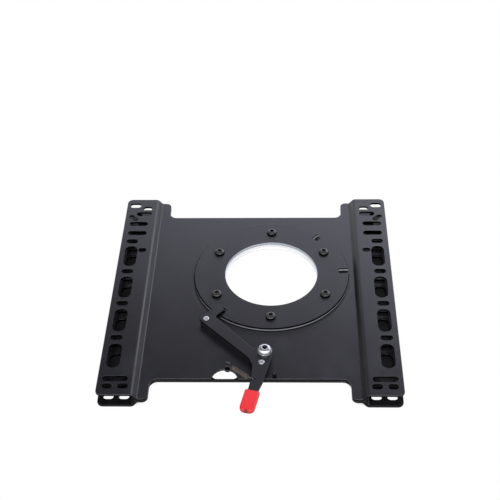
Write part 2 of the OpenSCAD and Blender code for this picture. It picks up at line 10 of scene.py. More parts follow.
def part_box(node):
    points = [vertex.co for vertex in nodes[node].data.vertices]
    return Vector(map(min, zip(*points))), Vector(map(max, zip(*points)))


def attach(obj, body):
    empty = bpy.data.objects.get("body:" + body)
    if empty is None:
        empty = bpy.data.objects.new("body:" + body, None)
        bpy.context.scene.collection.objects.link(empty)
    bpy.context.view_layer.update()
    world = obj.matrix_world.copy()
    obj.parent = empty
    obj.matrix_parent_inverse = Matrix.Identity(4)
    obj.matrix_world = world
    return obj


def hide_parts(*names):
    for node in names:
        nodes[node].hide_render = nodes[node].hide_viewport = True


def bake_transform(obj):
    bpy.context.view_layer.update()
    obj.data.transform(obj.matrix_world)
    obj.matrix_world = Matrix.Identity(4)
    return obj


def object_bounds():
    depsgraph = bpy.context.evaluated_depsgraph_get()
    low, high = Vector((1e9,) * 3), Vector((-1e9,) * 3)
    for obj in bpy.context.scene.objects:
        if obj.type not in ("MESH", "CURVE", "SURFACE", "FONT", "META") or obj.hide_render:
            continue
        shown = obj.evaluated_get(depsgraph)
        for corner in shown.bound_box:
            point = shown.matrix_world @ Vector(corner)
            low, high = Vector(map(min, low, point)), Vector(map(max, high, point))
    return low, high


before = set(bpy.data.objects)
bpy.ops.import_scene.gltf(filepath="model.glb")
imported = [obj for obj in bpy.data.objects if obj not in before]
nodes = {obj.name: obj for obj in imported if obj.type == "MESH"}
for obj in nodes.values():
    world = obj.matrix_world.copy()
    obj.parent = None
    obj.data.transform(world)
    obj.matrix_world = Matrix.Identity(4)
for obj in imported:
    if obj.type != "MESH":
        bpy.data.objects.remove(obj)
cad_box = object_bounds()


# Bottom plate and turning plate.
# Two pressings of 3 mm steel sheet with stepped side flanges, laser-cut slots and broken edges,
# in satin black powder coat. The bottom one bolts to the seat box, the top one to the seat.

PLATE_EDGE = 0.00045        # width of the bevel that deburring leaves on the outline
SLOT_EDGE = 0.00015         # the same in the slots and windows
PLATE_MID = (-0.0237, -0.03)
SLOTS_IN, SLOTS_OUT, SLOTS_END = 0.1415, 0.1795, 0.178      # the slots' place, from PLATE_MID
SHARP = math.radians(28)    # an edge that bends more than this is a cut edge
COAT_BLACK = (0.0068, 0.0069, 0.0088)
COAT_DUST = (0.0175, 0.018, 0.022)
# A lighter tone painted on the plate in front of the lock ring: painted light.
ARC_PAINTED_LIGHT = (0.026, 0.0265, 0.03)
# Near-black painted on upright faces: painted shade.
SIDE_PAINTED_SHADE = (0.006, 0.006, 0.007)
BARE_STEEL = (0.86, 0.87, 0.89)
BORE_R = 0.0602
RING_R = 0.1017


class Flow:
    """A shader socket that takes Python's own signs: each sum on it adds a Math node."""

    def __init__(self, tree, socket):
        self.tree, self.socket = tree, socket

    def add(self, kind, settings=None, inputs=None, out=0):
        """Adds a node of a kind, with its settings first and then its values or links."""
        node = self.tree.nodes.new("ShaderNode" + kind)
        for key, value in (settings or {}).items():
            setattr(node, key, value)
        for key, value in (inputs or {}).items():
            if isinstance(value, Flow):
                self.tree.links.new(value.socket, node.inputs[key])
            else:
                node.inputs[key].default_value = value
        return Flow(self.tree, node.outputs[out])

    def sum(self, operation, first, second):
        return self.add("Math", {"operation": operation}, {0: first, 1: second})

    def __add__(self, other):
        return self.sum("ADD", self, other)

    def __radd__(self, other):
        return self.sum("ADD", other, self)

    def __sub__(self, other):
        return self.sum("SUBTRACT", self, other)

    def __rsub__(self, other):
        return self.sum("SUBTRACT", other, self)

    def __mul__(self, other):
        return self.sum("MULTIPLY", self, other)

    def __pow__(self, other):
        return self.sum("POWER", self, other)

    def __abs__(self):
        return self.add("Math", {"operation": "ABSOLUTE"}, {0: self})

    def larger(self, other):
        return self.sum("MAXIMUM", self, other)

    def between(self, low, high):
        """0 below low, 1 above high, smooth between."""
        return self.add(
            "MapRange", {"interpolation_type": "SMOOTHSTEP"}, {0: self, 1: low, 2: high, 3: 0.0, 4: 1.0}
        )

    def colours(self, first, second):
        """A colour that goes from first at 0 to second at 1."""
        ends = {6: first, 7: second}
        for key, value in ends.items():
            ends[key] = value if isinstance(value, Flow) else (*value, 1)
        return self.add("Mix", {"data_type": "RGBA"}, {0: self, **ends}, out=2)


def finish_named(name, **plain):
    """A new Principled finish: its material, its shader node and a Flow at Object coordinates."""
    material = bpy.data.materials.new(name)
    material.use_nodes = True
    tree = material.node_tree
    shader = tree.nodes["Principled BSDF"]
    for key, value in plain.items():
        socket = shader.inputs[key.replace("_", " ")]
        socket.default_value = (*value, 1) if isinstance(value, tuple) else value
    place = tree.nodes.new("ShaderNodeTexCoord")
    return material, shader, Flow(tree, place.outputs["Object"])


def noise(place, scale, detail=2.0, rough=0.5):
    return place.add(
        "TexNoise", None, {"Vector": place, "Scale": scale, "Detail": detail, "Roughness": rough}
    )


def feed(shader, **flows):
    for key, value in flows.items():
        value.tree.links.new(value.socket, shader.inputs[key.replace("_", " ")])


def bumped(shader, height, depth):
    """Gives the shader a bump from a height field, depth in metres."""
    feed(shader, Normal=height.add("Bump", None, {"Height": height, "Distance": depth, "Strength": 1.0}))


def parts_of(place):
    """The X, Y and Z of a vector socket."""
    axes = place.add("SeparateXYZ", None, {0: place})
    return [Flow(axes.tree, axes.socket.node.outputs[k]) for k in (0, 1, 2)]


def radius_of(place, centre=(0, 0)):
    """Distance from a vertical line, at first the swivel axis."""
    across, along, _ = parts_of(place)
    across, along = across - centre[0], along - centre[1]
    return (across * across + along * along) ** 0.5


def lying_flat(place):
    """1 where the surface lies flat, face up or face down, and 0 where it stands upright."""
    return abs(parts_of(Flow(place.tree, place.socket.node.outputs["Normal"]))[2])


def bare_bore(place):
    """1 on the turned, uncoated wall of the centre hole, 0 elsewhere."""
    return 1 - radius_of(place).between(BORE_R + 0.0003, BORE_R + 0.0005)


def powder_coat(
    name, rough=0.36, black=COAT_BLACK, dust=COAT_DUST, shine=0.5,
    bore=False, painted_light_arc=False, painted_shade_sides=False,
):
    """Baked powder coat: fine orange peel, slightly cloudy gloss, a trace of dust.

    bore leaves the wall of the centre hole bare. The arc flag paints a lighter arc on the plate just in
    front of the lock ring, front side only, as painted light over the ring's shade.
    The sides flag paints upright faces near-black and sloping faces somewhat darker, as painted shade.
    """
    material, shader, place = finish_named(name, Specular_IOR_Level=shine)
    peel = noise(place, 900, 2.0)
    grit = noise(place, 3200, 1.0)
    cloud = noise(place, 16, 3.0, 0.55)
    smear = noise(place, 60, 4.0, 0.6)
    soil = (cloud * 0.6 + smear * 0.4).between(0.46, 0.66)
    colour = (soil * 0.35 + grit * 0.18).colours(black, dust)
    gloss = rough - 0.03 + soil * 0.05 + grit * 0.03
    # A lighter arc painted on the plate just outside the lock ring, front side only: painted light that
    # lifts the ring's shade there.
    if painted_light_arc:
        reach = radius_of(place)
        lit_arc = reach.between(RING_R, RING_R + 0.0005)
        lit_arc = lit_arc * (1 - reach.between(RING_R + 0.003, RING_R + 0.008))
        lit_arc = lit_arc * (0 - parts_of(place)[1]).between(0.0, 0.07)
        colour = lit_arc.colours(colour, ARC_PAINTED_LIGHT)
    metal = None
    # Upright faces are painted near-black and sloping faces darker: painted shade.
    if painted_shade_sides:
        metal = 1 - lying_flat(place).between(0.1, 0.95)
        colour = metal.colours(colour, SIDE_PAINTED_SHADE)
    if bore:
        bare = bare_bore(place)
        metal = metal.larger(bare) if metal else bare
        colour = bare.colours(colour, BARE_STEEL)
        gloss = gloss + bare * 0.12
    if metal:
        feed(shader, Metallic=metal)
    feed(shader, Base_Color=colour, Roughness=gloss)
    bumped(shader, peel * 0.8 + grit * 0.2, 0.00001)
    return material


def add_piece(name, bm, body, material, replaces=(), even=False, bend=None):
    """A finished bmesh as an object at the origin that rides on a body and takes a finish.

    With bend, the piece stays where it is and rides on no body; the bend's second body and two points are
    not used.
    """
    mesh = bpy.data.meshes.new(name)
    for face in bm.faces:
        face.smooth = True
    bm.to_mesh(mesh)
    bm.free()
    piece = bpy.data.objects.new(name, mesh)
    bpy.context.scene.collection.objects.link(piece)
    mesh.materials.append(material)
    if even:
        flatten = piece.modifiers.new("flat_faces_even", "WEIGHTED_NORMAL")
        flatten.mode = "FACE_AREA_WITH_ANGLE"
        flatten.weight = 100
        flatten.keep_sharp = True
    if bend:
        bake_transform(piece)
    else:
        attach(piece, body)
    if replaces:
        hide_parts(*replaces)
    return piece


def in_slots(edge):
    """True for an edge of the flanges' slots and windows."""
    return all(
        SLOTS_IN < abs(v.co.x - PLATE_MID[0]) < SLOTS_OUT and abs(v.co.y - PLATE_MID[1]) < SLOTS_END
        for v in edge.verts
    )


def softened(node, name, body, material, edge, segments=2, top_edge=0, slot_edge=0):
    """The CAD node's own form with its cut edges rounded by edge metres, or bevelled flat.

    One segment bevels flat, more round. top_edge rounds the outline of the top face more than the
    rest, and slot_edge does the edges of the slots finer.
    """
    bm = bmesh.new()
    bm.from_mesh(nodes[node].data)
    bmesh.ops.remove_doubles(bm, verts=bm.verts, dist=2e-6)
    bmesh.ops.dissolve_limit(bm, angle_limit=math.radians(0.6), verts=bm.verts, edges=bm.edges)
    if top_edge:
        crown = max(v.co.z for v in bm.verts) - 1e-5
        bmesh.ops.bevel(
            bm, geom=[
                e for e in bm.edges
                if all(v.co.z > crown for v in e.verts) and e.calc_face_angle(0) > SHARP
            ],
            offset=top_edge, offset_type="OFFSET", affect="EDGES",
            segments=4, profile=0.5, material=-1, clamp_overlap=False,
        )
    cut = [e for e in bm.edges if len(e.link_faces) == 2 and e.calc_face_angle() > SHARP]
    fine = {e for e in cut if slot_edge and in_slots(e)}
    coarse = [e for e in cut if e not in fine]
    fine = [e for e in cut if e in fine]
    for lines, offset in ((coarse, edge), (fine, slot_edge)):
        if lines:
            bmesh.ops.bevel(
                bm, geom=lines, offset=offset, offset_type="OFFSET", affect="EDGES",
                segments=segments, profile=0.5, material=-1, clamp_overlap=False,
            )
    if segments == 1:
        for e in bm.edges:
            e.smooth = e.calc_face_angle(0) < SHARP
    return add_piece(name, bm, body, material, replaces=[node], even=True)


plate_coat = powder_coat("plate_powder_coat", painted_light_arc=True, painted_shade_sides=True)
# The bottom plate's coat is painted darker than the top plate's: painted shade, as it lies under the
# turning plate.
shaded_low_coat = powder_coat(
    "bottom_plate_shaded_powder_coat", rough=0.27, shine=0.25,
    black=(0.0035, 0.0035, 0.004), dust=(0.008, 0.008, 0.0095), bore=True, painted_shade_sides=True,
)

softened(
    "bottom_plate", "bottom_plate_pressing", "base", shaded_low_coat, PLATE_EDGE,
    segments=1, slot_edge=SLOT_EDGE,
)
softened(
    "top_plate", "turning_plate_pressing", "turntable", plate_coat, PLATE_EDGE,
    segments=1, slot_edge=SLOT_EDGE,
)


# Hub and slide rings.
# A turned steel hub carries the turning plate, with a slide ring of black low-friction plastic
# below it and one above it. They are clamped between the bottom plate and the lock ring.

hub_coat = powder_coat("hub_powder_coat", rough=0.4, bore=True)
softened("hub_ring", "hub", "base", hub_coat, 0.0002)

slide_plastic, slide_shader, slide_place = finish_named("slide_ring_plastic", Specular_IOR_Level=0.15)
slide_mottle = noise(slide_place, 240, 3.0)
feed(
    slide_shader,
    Base_Color=slide_mottle.colours((0.006, 0.006, 0.0065), (0.012, 0.012, 0.0125)),
    Roughness=0.42 + slide_mottle * 0.16,
)
bumped(slide_shader, slide_mottle, 0.00001)
softened("lower_slide_ring", "slide_ring_below", "base", slide_plastic, 0.0001)
softened("upper_slide_ring", "slide_ring_above", "base", slide_plastic, 0.0001)


# Lock ring.
# A 4 mm steel ring that is bolted down on the hub. Its rim is bevelled, and three notches are
# cut into it for the latch. Same coat as the plates, with faint marks round the screws. Its side is
# painted near-black as painted shade, with a grey band along its middle as a painted highlight.

SCREWS = 6
SCREW_CIRCLE = 0.0805
RING_TOP = 0.0118
NOTCH_FLOOR_R = 0.0875
HIGHLIGHT_LOW, HIGHLIGHT_HIGH = 0.0083, RING_TOP - 0.0017       # the painted highlight band's lower and upper edge
ring_coat, ring_shader, ring_place = finish_named("lock_ring_powder_coat", Specular_IOR_Level=0.5)
ring_peel = noise(ring_place, 900, 2.0)
ring_grit = noise(ring_place, 3200, 1.0)
ring_cloud = noise(ring_place, 22, 3.0, 0.6).between(0.44, 0.64)
off_track = abs(radius_of(ring_place) - SCREW_CIRCLE)
screw_band = (1 - off_track.between(0.004, 0.013)) * ring_cloud
ring_bare = bare_bore(ring_place)
ring_z = parts_of(ring_place)[2]
# The ring's side, outer rim and notch walls alike, is painted near-black: painted shade.
wall = radius_of(ring_place).between(NOTCH_FLOOR_R, NOTCH_FLOOR_R + 0.0002)
wall = wall * (1 - ring_z.between(RING_TOP - 0.0001, RING_TOP - 0.00002))
# A grey band along the middle of the side, lighter in the notches, is a painted highlight.
band_painted_highlight = ring_z.between(HIGHLIGHT_LOW, HIGHLIGHT_LOW + 0.0003) * wall
band_painted_highlight = band_painted_highlight * (1 - ring_z.between(HIGHLIGHT_HIGH, HIGHLIGHT_HIGH + 0.0002))
in_notch = 1 - radius_of(ring_place).between(RING_R - 0.0006, RING_R - 0.0004)
ring_colour = (ring_cloud * 0.3 + ring_grit * 0.15).colours(COAT_BLACK, COAT_DUST)
ring_colour = wall.colours(ring_colour, (0.004, 0.004, 0.005))
ring_colour = band_painted_highlight.colours(ring_colour, in_notch.colours((0.27, 0.27, 0.29), (0.5, 0.5, 0.53)))
feed(
    ring_shader,
    Base_Color=ring_bare.colours(ring_colour, (0.43, 0.45, 0.49)),
    Metallic=ring_bare + wall - band_painted_highlight,
    Roughness=0.35 + screw_band * 0.07 + ring_grit * 0.03 + ring_bare * 0.1,
)
bumped(ring_shader, ring_peel * 0.8 + ring_grit * 0.2, 0.00001)
softened("lock_ring", "lock_ring_plate", "base", ring_coat, 0.0006, segments=4)


# Ring screws and nuts.
# Six black button-head screws with hexagon sockets clamp the lock ring, hub and bottom plate
# together. Zinc-plated hexagon nuts hold them from below.

HEAD_R = 0.0067
HEAD_H = 0.004
SHANK_R = 0.004
SCREW_TIP = -0.0058


def next_ring(bm, ring, radius, z, centre, flats=None):
    """Extrudes an open ring of edges to a radius and height; flats makes it a hexagon."""
    grown = bmesh.ops.extrude_edge_only(bm, edges=ring)["geom"]
    for v in [g for g in grown if isinstance(g, bmesh.types.BMVert)]:
        turn = math.atan2(v.co.y - centre[1], v.co.x - centre[0])
        reach = radius
        if flats:
            reach = flats / 2 / math.cos((turn + math.pi / 6) % (math.pi / 3) - math.pi / 6)
        v.co = (centre[0] + reach * math.cos(turn), centre[1] + reach * math.sin(turn), z)
    return [g for g in grown if isinstance(g, bmesh.types.BMEdge) and g.is_boundary]


def socket_screw(bm, centre, base, head_r, head_h, flats, shank_r, tip, thread_to, pitch=0.00125):
    """A button-head screw standing on z = base: thread, shank, domed head and hexagon socket."""
    first = bmesh.ops.create_circle(bm, cap_ends=True, segments=48, radius=shank_r - 0.0009)
    bmesh.ops.translate(bm, verts=first["verts"], vec=(*centre, tip))
    ring = [e for e in bm.edges if e.is_boundary and all(v in first["verts"] for v in e.verts)]
    ring = next_ring(bm, ring, shank_r - 0.0005, tip + 0.0006, centre)
    z = tip + 0.0006
    while z < thread_to:
        ring = next_ring(bm, ring, shank_r, z + pitch * 0.5, centre)
        ring = next_ring(bm, ring, shank_r - pitch * 0.5, z + pitch, centre)
        z += pitch
    ring = next_ring(bm, ring, shank_r, max(z, thread_to) + 0.0003, centre)
    ring = next_ring(bm, ring, shank_r, base, centre)
    ring = next_ring(bm, ring, head_r - 0.0004, base, centre)
    ring = next_ring(bm, ring, head_r, base + 0.0003, centre)
    ring = next_ring(bm, ring, head_r, base + 0.0007, centre)
    rim = flats / 2 / math.cos(math.pi / 6) + 0.0003
    for step in range(1, 9):
        lean = math.radians(step * 90 / 9)
        reach = rim + (head_r - rim) * math.cos(lean) ** 1.15
        ring = next_ring(bm, ring, reach, base + 0.0007 + (head_h - 0.0007) * math.sin(lean), centre)
    ring = next_ring(bm, ring, rim, base + head_h, centre)
    ring = next_ring(bm, ring, None, base + head_h - 0.00025, centre, flats)
    ring = next_ring(bm, ring, None, base + head_h * 0.45, centre, flats)
    ring = next_ring(bm, ring, flats * 0.18, base + head_h * 0.36, centre)
    bmesh.ops.holes_fill(bm, edges=ring, sides=0)
    bmesh.ops.recalc_face_normals(bm, faces=bm.faces)
    for edge in bm.edges:
        edge.smooth = edge.calc_face_angle(0) < math.radians(40)


black_oxide, oxide_shader, oxide_place = finish_named("screw_black_oxide", Specular_IOR_Level=0.55)
oxide_grain = noise(oxide_place, 700, 3.0)
oxide_film = noise(oxide_place, 160, 2.0)
# The steep flanks are painted near-black and the flat top lighter: painted shade on the flanks.
flank_painted_shade = 1 - lying_flat(oxide_place).between(0.45, 0.8)
feed(
    oxide_shader,
    Base_Color=flank_painted_shade.colours(
        oxide_film.colours((0.018, 0.018, 0.0175), (0.040, 0.040, 0.038)), (0.004, 0.004, 0.0045)
    ),
    Metallic=flank_painted_shade,
    Roughness=0.22 + oxide_grain * 0.16,
)
bumped(oxide_shader, oxide_grain, 0.00001)

for i in range(SCREWS):
    lean = math.radians(90 - i * 360 / SCREWS)
    spot = (SCREW_CIRCLE * math.cos(lean), SCREW_CIRCLE * math.sin(lean))
    bm = bmesh.new()
    socket_screw(
        bm, spot, base=RING_TOP, head_r=HEAD_R, head_h=HEAD_H, flats=0.005,
        shank_r=SHANK_R, tip=SCREW_TIP, thread_to=0.002,
    )
    add_piece(
        f"ring_screw_{i + 1}_button_head", bm, "base", black_oxide,
        replaces=[f"ring_screw_{i + 1}"],
    )


def zinc_plate(name, socket=None):
    """Passivated zinc, a clouded silver. A socket (centre, radius, rim height) gets near-black painted
    shade inside.
    """
    material, shader, place = finish_named(name, Metallic=1.0)
    grain = noise(place, 1500, 3.0, 0.6)
    bloom = noise(place, 260, 2.0)
    colour = bloom.colours((0.50, 0.51, 0.53), (0.68, 0.69, 0.71))
    if socket:
        centre, reach, rim = socket
        # The inside of the socket is painted near-black: painted shade.
        inside = 1 - radius_of(place, centre).between(reach, reach + 0.0001)
        inside = inside * (1 - parts_of(place)[2].between(rim - 0.0004, rim - 0.0003))
        colour = inside.colours(colour, (0.02, 0.02, 0.022))
    feed(shader, Base_Color=colour, Roughness=0.28 + grain * 0.2)
    bumped(shader, grain, 0.000012)
    return material


zinc = zinc_plate("bright_zinc_plate")
for i in range(SCREWS):
    softened(f"ring_nut_{i + 1}", f"ring_nut_{i + 1}_hexagon", "base", zinc, 0.00015)


# Lever pivot: bush, washer and bolt.
# A zinc-plated button-head bolt clamps a bush to the turning plate, and the lever turns on the
# bush under a plain washer.

PIVOT = (-0.0066, -0.1426)
softened("pivot_bush", "pivot_bush_turned", "turntable", zinc, 0.00015)
softened("pivot_washer", "pivot_washer_plain", "turntable", zinc, 0.00025)
bm = bmesh.new()
socket_screw(
    bm, PIVOT, base=0.0169, head_r=0.0083, head_h=0.0055, flats=0.006,
    shank_r=0.005, tip=0.0038, thread_to=0.0042, pitch=0.0015,
)
bolt_zinc = zinc_plate("bolt_zinc_plate", socket=(PIVOT, 0.0032, 0.0224))
add_piece("pivot_bolt_button_head", bm, "turntable", bolt_zinc, replaces=["pivot_bolt"])


# Latch lever, pawl and hollow rivets.
# The lever is 3 mm steel with its nose over the lock ring. The pawl below it carries the tooth,
# and two zinc-plated hollow rivets join them.

lever_coat = powder_coat("lever_powder_coat", rough=0.4, painted_shade_sides=True)
pawl_coat = powder_coat(
    "pawl_powder_coat", rough=0.45, black=(0.008, 0.008, 0.009), dust=(0.016, 0.016, 0.018)
)
softened("lever_plate", "lever_blank", "lever", lever_coat, 0.0002, top_edge=0.0008)
softened("pawl", "pawl_with_tooth", "lever", pawl_coat, 0.0003)


def turned(profile, centre, steps=48):
    """A solid of revolution about a vertical line: the profile is (radius, z) from end to end."""
    bm = bmesh.new()
    verts = [bm.verts.new((centre[0] + r, centre[1], z)) for r, z in profile]
    edges = [bm.edges.new(pair) for pair in zip(verts, verts[1:])]
    bmesh.ops.spin(
        bm, geom=verts + edges, cent=(*centre, 0), axis=(0, 0, 1), dvec=(0, 0, 0),
        angle=2 * math.pi, steps=steps, use_merge=True, use_duplicate=False,
    )
    bmesh.ops.remove_doubles(bm, verts=bm.verts, dist=1e-6)
    bmesh.ops.recalc_face_normals(bm, faces=bm.faces)
    return bm


def rolled_rivet(centre):
    """A hollow rivet: a tube whose top is rolled over into a soft ring."""
    top, low, bore, shank, head = 0.0152, 0.007, 0.001, 0.002, 0.0038
    roll = [(bore, top - 0.0002), (bore + 0.00012, top + 0.0004), (bore + 0.0005, top + 0.00078)]
    roll += [(bore + 0.0011, top + 0.0009), (head - 0.0009, top + 0.00078), (head - 0.0003, top + 0.0004)]
    roll += [(head, top + 0.00008), (head - 0.0001, top), (shank, top), (shank, low), (bore, low)]
    return turned(roll + [roll[0]], centre)


for node, name in (("nose_rivet", "nose_rivet_rolled"), ("heel_rivet", "heel_rivet_rolled")):
    low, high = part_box(node)
    spot = ((low.x + high.x) / 2, (low.y + high.y) / 2)
    add_piece(name, rolled_rivet(spot), "lever", zinc, replaces=[node])


# Spring post and stop pin.
# A headed post and a short pin are pressed into the turning plate before coating. The post
# holds the spring, the pin stops the released lever.

softened("spring_post", "spring_post_headed", "turntable", plate_coat, 0.00015)
softened("stop_pin", "stop_pin_pressed", "turntable", plate_coat, 0.00015)


# Return spring.
# A close-coiled extension spring of 1 mm wire, oiled and slightly browned, with a full loop on
# the post and a hook down through the lever's hole. It stretches as the lever turns.

POST = Vector((-0.051, -0.1623, 0.0137))
HOOK = Vector((-0.0194236, -0.1881997, 0.0137))
WIRE = 0.001
COIL_R = 0.0022
TURNS = 22
PITCH = 0.00112
LOOP_R = 0.00305
OVER = 0.0023            # height of the hook over the lever's middle
HOOK_RUN = 0.0086        # length of the hook between the last coil and the lever's hole


def spring_line():
    """Points of the wire's centre line, along X from the post, as the solid has them."""
    span = (HOOK - POST).length
    start = span - TURNS * PITCH - HOOK_RUN
    end = start + TURNS * PITCH
    line = [
        Vector((LOOP_R * math.cos(a), LOOP_R * math.sin(a), 0))
        for a in (math.radians(20 + 10 * k) for k in range(31))
    ]
    line.append(Vector((LOOP_R + 0.0009, -LOOP_R * 0.45, 0)))
    line.append(Vector((start - 0.0008, -COIL_R * 0.8, -0.0002)))
    for i in range(TURNS * 24 + 1):
        a = math.radians(i * 15 - 90)
        grow = min(i / 8, 1)
        across, over = COIL_R * math.sin(a), -COIL_R * math.cos(a) * grow
        line.append(Vector((start + i / 24 * PITCH, across, over)))
    line += [Vector(p) for p in (
        (end + 0.0009, -COIL_R * 0.6, COIL_R * 0.55), (end + 0.0022, -COIL_R * 0.15, OVER),
        (span - 0.001, 0, OVER), (span - 0.0001, 0, OVER - 0.0006),
        (span, 0, OVER - 0.0016), (span, 0, 0.0005 - OVER),
        (span - 0.0004, 0, -0.0006 - OVER), (span - 0.0016, 0, -0.001 - OVER),
    )]
    return line


def wire_along(line, radius, sides=10):
    """A round wire: one circle, extruded and turned from point to point."""
    bm = bmesh.new()
    ends = [(b - a).normalized() for a, b in zip(line, line[1:])]
    runs = [ends[0]] + [(a + b).normalized() for a, b in zip(ends, ends[1:])] + [ends[-1]]
    turn = Vector((0, 0, 1)).rotation_difference(runs[0]).to_matrix().to_4x4()
    start = Matrix.Translation(line[0]) @ turn
    bmesh.ops.create_circle(bm, cap_ends=True, segments=sides, radius=radius, matrix=start)
    ring = list(bm.edges)
    for here, there, old, new in zip(line, line[1:], runs, runs[1:]):
        grown = bmesh.ops.extrude_edge_only(bm, edges=ring)["geom"]
        verts = [g for g in grown if isinstance(g, bmesh.types.BMVert)]
        bend = old.rotation_difference(new).to_matrix().to_4x4()
        move = Matrix.Translation(there) @ bend @ Matrix.Translation(-here)
        bmesh.ops.transform(bm, matrix=move, verts=verts)
        ring = [g for g in grown if isinstance(g, bmesh.types.BMEdge) and g.is_boundary]
    bmesh.ops.holes_fill(bm, edges=ring, sides=0)
    bmesh.ops.recalc_face_normals(bm, faces=bm.faces)
    return bm


spring_steel, spring_shader, spring_place = finish_named("oiled_spring_steel", Metallic=0.9)
spring_film = noise(spring_place, 420, 3.0)
feed(
    spring_shader,
    Base_Color=spring_film.colours((0.075, 0.062, 0.053), (0.165, 0.142, 0.126)),
    Roughness=0.30 + spring_film * 0.16,
)
bumped(spring_shader, spring_film, 0.000006)
bm = wire_along(spring_line(), WIRE / 2)
reach = HOOK - POST
bmesh.ops.transform(
    bm, verts=bm.verts,
    matrix=Matrix.Translation(POST) @ Matrix.Rotation(math.atan2(reach.y, reach.x), 4, "Z"),
)
add_piece(
    "return_spring_wire", bm, "turntable", spring_steel, replaces=["return_spring"],
    bend=("lever", tuple(POST + reach * 0.15), tuple(POST + reach * 0.85)),
)


# Grip.
# A red soft vinyl sleeve, dipped and cured, then pushed over the end of the handle. Its mouth
# has a thin lip, and the handle's tip shows through a small slit at the end.

GRIP_L, GRIP_W, GRIP_T = 0.0312, 0.0180, 0.0066
TAIL_R = 0.0066             # rounding of the sleeve's closed end, seen from above
EDGE_R = 0.0019             # rounding of its long edges
LIP, LIP_DEEP = 0.0008, 0.0006
GRIP_LEAN = math.radians(-90 - 13)
GRIP_MOUTH = Vector((-0.0199349, -0.2055288, 0.0137))

bm = bmesh.new()
bmesh.ops.create_grid(bm, x_segments=1, y_segments=1, size=0.5)
bmesh.ops.scale(bm, vec=(GRIP_L, GRIP_W, 1), verts=bm.verts)
bmesh.ops.translate(bm, vec=(GRIP_L / 2, 0, 0), verts=bm.verts)
tail = [v for v in bm.verts if v.co.x > GRIP_L * 0.9]
bmesh.ops.bevel(
    bm, geom=tail, offset=TAIL_R, offset_type="OFFSET", affect="VERTICES", segments=8,
    profile=0.5, material=-1,
)
bmesh.ops.translate(bm, vec=(0, 0, -GRIP_T / 2), verts=bm.verts)
raised = bmesh.ops.extrude_face_region(bm, geom=list(bm.faces))["geom"]
raised = [g for g in raised if isinstance(g, bmesh.types.BMVert)]
bmesh.ops.translate(bm, vec=(0, 0, GRIP_T), verts=raised)
bmesh.ops.recalc_face_normals(bm, faces=bm.faces)


def is_rounded(edge):
    """True for the sleeve's long edges and its tail's, and for the upright ones at its mouth."""
    first, second = (v.co for v in edge.verts)
    if abs(first.z - second.z) < 1e-6:
        return max(first.x, second.x) > 1e-6
    return first.x < 1e-6


round_edges = [e for e in bm.edges if is_rounded(e)]
bmesh.ops.bevel(
    bm, geom=round_edges, offset=EDGE_R, offset_type="OFFSET", affect="EDGES", segments=6,
    profile=0.5, material=-1, clamp_overlap=True,
)
mouth = [f for f in bm.faces if f.normal.x < -0.9 and f.calc_center_median().x < 1e-4]
bmesh.ops.inset_region(bm, faces=mouth, thickness=LIP, depth=0)
bmesh.ops.translate(bm, vec=(LIP_DEEP, 0, 0), verts=list({v for f in mouth for v in f.verts}))
bmesh.ops.transform(
    bm, verts=bm.verts, matrix=Matrix.Translation(GRIP_MOUTH) @ Matrix.Rotation(GRIP_LEAN, 4, "Z")
)

red_vinyl, vinyl_shader, vinyl_place = finish_named(
    "red_dipped_vinyl", Specular_IOR_Level=0.45, Subsurface_Weight=0.12, Subsurface_Scale=0.002
)
vinyl_cloud = noise(vinyl_place, 90, 2.0)
vinyl_skin = noise(vinyl_place, 520, 2.0)
mouth_x, mouth_y, _ = parts_of(vinyl_place)
mouth_x, mouth_y = mouth_x - GRIP_MOUTH.x, mouth_y - GRIP_MOUTH.y
along_grip = mouth_x * math.cos(GRIP_LEAN) + mouth_y * math.sin(GRIP_LEAN)
off_centre = abs(mouth_y * math.cos(GRIP_LEAN) - mouth_x * math.sin(GRIP_LEAN))
# The first millimetre of the sleeve from its mouth is painted dark: painted shade at the lip.
mouth_painted_shade = (1 - along_grip.between(0.0003, 0.0009)) * 0.7
vinyl_slit = along_grip.between(GRIP_L - 0.0018, GRIP_L - 0.0012)
vinyl_slit = vinyl_slit * (1 - off_centre.between(0.0012, 0.0026))
# The upright sides are painted darker red than the top: painted shade.
side_painted_shade = (1 - lying_flat(vinyl_place).between(0.1, 0.6)) * 0.35
vinyl_tone = vinyl_cloud.colours((0.81, 0.024, 0.029), (0.86, 0.036, 0.041))
vinyl_tone = side_painted_shade.colours(vinyl_tone, (0.12, 0.004, 0.008))
feed(
    vinyl_shader,
    Base_Color=(mouth_painted_shade + vinyl_slit * 0.85).colours(vinyl_tone, (0.05, 0.003, 0.006)),
    Roughness=0.36 + vinyl_skin * 0.12,
)
bumped(vinyl_shader, vinyl_cloud * 0.7 + vinyl_skin * 0.3, 0.00006)
add_piece("grip_sleeve", bm, "lever", red_vinyl, replaces=["lever_grip"], even=True)


# Studio.
# A white table that the object stands on, a white backdrop under a grey ceiling, a long light
# card and two small ones behind, a softbox in front, and the camera at the photograph's angle.

FLOOR_Z = cad_box[0].z
FLANGE_IN, FLANGE_OUT = 0.139, 0.180        # the slotted part of a flange, from the plates' middle
FRONT_ROW, REAR_ROW = -0.1619, 0.1795       # its front and rear, behind the front row of slots


def seen_by(tree, kind):
    """1 for a ray of one kind, such as Camera."""
    return Flow(tree, tree.nodes.new("ShaderNodeLightPath").outputs[f"Is {kind} Ray"])


bm = bmesh.new()
bmesh.ops.create_grid(bm, x_segments=1, y_segments=1, size=6)
bmesh.ops.translate(bm, vec=(0, 0, FLOOR_Z), verts=bm.verts)
table_mesh = bpy.data.meshes.new("white_table")
bm.to_mesh(table_mesh)
bm.free()
table = bpy.data.objects.new("white_table", table_mesh)
bpy.context.scene.collection.objects.link(table)

